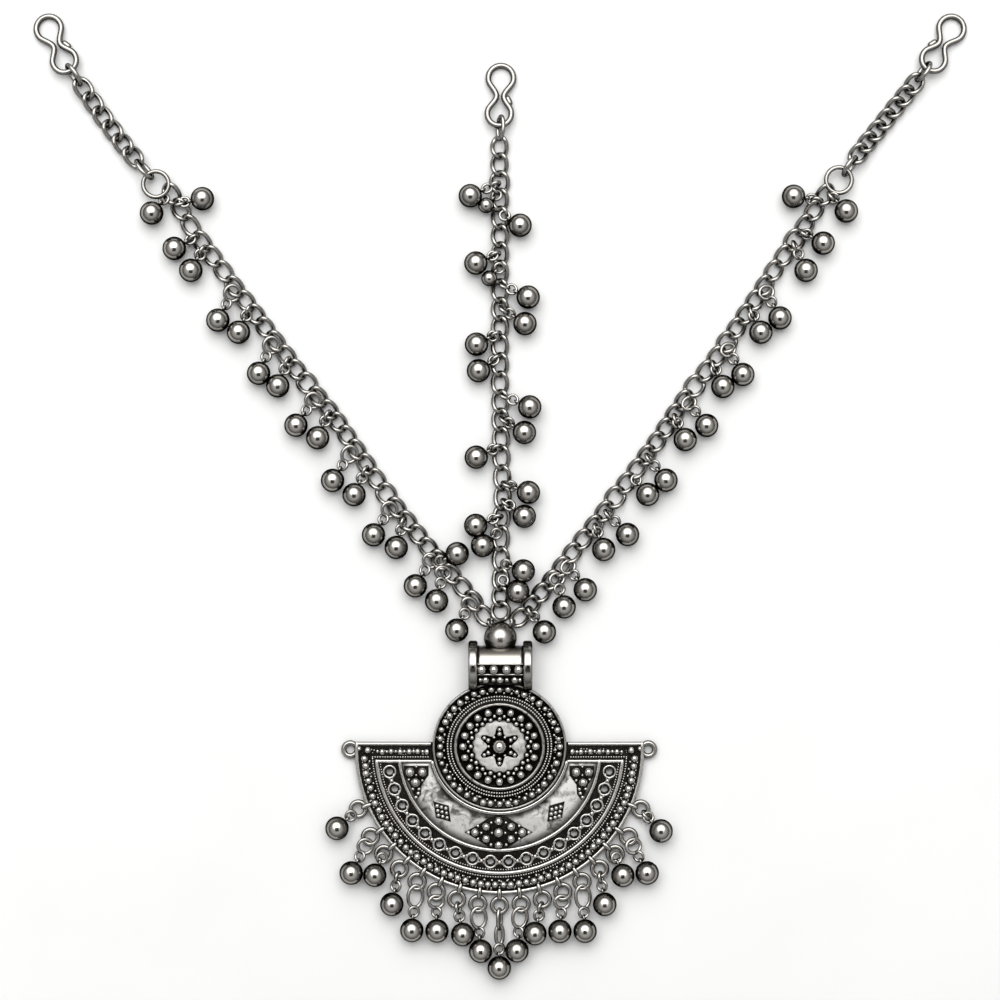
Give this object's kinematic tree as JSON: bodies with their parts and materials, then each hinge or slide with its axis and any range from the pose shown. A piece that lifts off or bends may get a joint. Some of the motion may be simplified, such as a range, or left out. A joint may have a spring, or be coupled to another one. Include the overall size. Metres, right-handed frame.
{
  "type": "matha patti head jewel",
  "caption": "Silver head jewel: chains hung with balls fan out from a round boss on a pierced half-moon plate with a ball fringe; wire hooks at the top ends.",
  "frame": {"origin": "middle of the medallion's flat back", "axes": "+Z out of the jewel's front, away from what it lies on; +Y from the fringe to the top hooks; +X to the viewer's right"},
  "size_m": [0.2283, 0.2366, 0.0081],
  "materials": {
    "hook_silver": "aged silver wire, lightly burnished",
    "link_silver": "aged silver wire links",
    "ring_silver": "aged silver wire ring",
    "strand_silver": "aged silver chain with dark polished balls",
    "crown_silver": "dark polished silver",
    "bail_silver": "oxidised silver with burnished flanges",
    "medallion_silver": "oxidised silver with burnished relief",
    "plate_silver": "oxidised silver with burnished relief",
    "drop_silver": "dark polished silver balls on wire links"
  },
  "bodies": {
    "root": {"hook_left": "hook_silver", "hook_right": "hook_silver", "hook_centre": "hook_silver", "ring_left": "ring_silver", "ring_right": "ring_silver", "leader_left_01": "link_silver", "leader_left_02": "link_silver", "leader_left_03": "link_silver", "leader_left_04": "link_silver", "leader_left_05": "link_silver", "leader_left_06": "link_silver", "leader_left_07": "link_silver", "leader_left_08": "link_silver", "leader_right_01": "link_silver", "leader_right_02": "link_silver", "leader_right_03": "link_silver", "leader_right_04": "link_silver", "leader_right_05": "link_silver", "leader_right_06": "link_silver", "leader_right_07": "link_silver", "leader_right_08": "link_silver", "leader_right_09": "link_silver", "strand_left": "strand_silver", "strand_right": "strand_silver", "strand_centre": "strand_silver", "crown_ball": "crown_silver", "bail": "bail_silver", "medallion": "medallion_silver", "half_moon": "plate_silver", "fringe_drop_01": "drop_silver", "fringe_drop_02": "drop_silver", "fringe_drop_03": "drop_silver", "fringe_drop_04": "drop_silver", "fringe_drop_05": "drop_silver", "fringe_drop_06": "drop_silver", "fringe_drop_07": "drop_silver", "fringe_drop_08": "drop_silver", "fringe_drop_09": "drop_silver", "fringe_drop_10": "drop_silver", "fringe_drop_11": "drop_silver", "fringe_drop_12": "drop_silver", "fringe_drop_13": "drop_silver", "fringe_drop_14": "drop_silver", "fringe_drop_15": "drop_silver", "fringe_drop_16": "drop_silver", "fringe_drop_17": "drop_silver"}
  },
  "joints": []
}
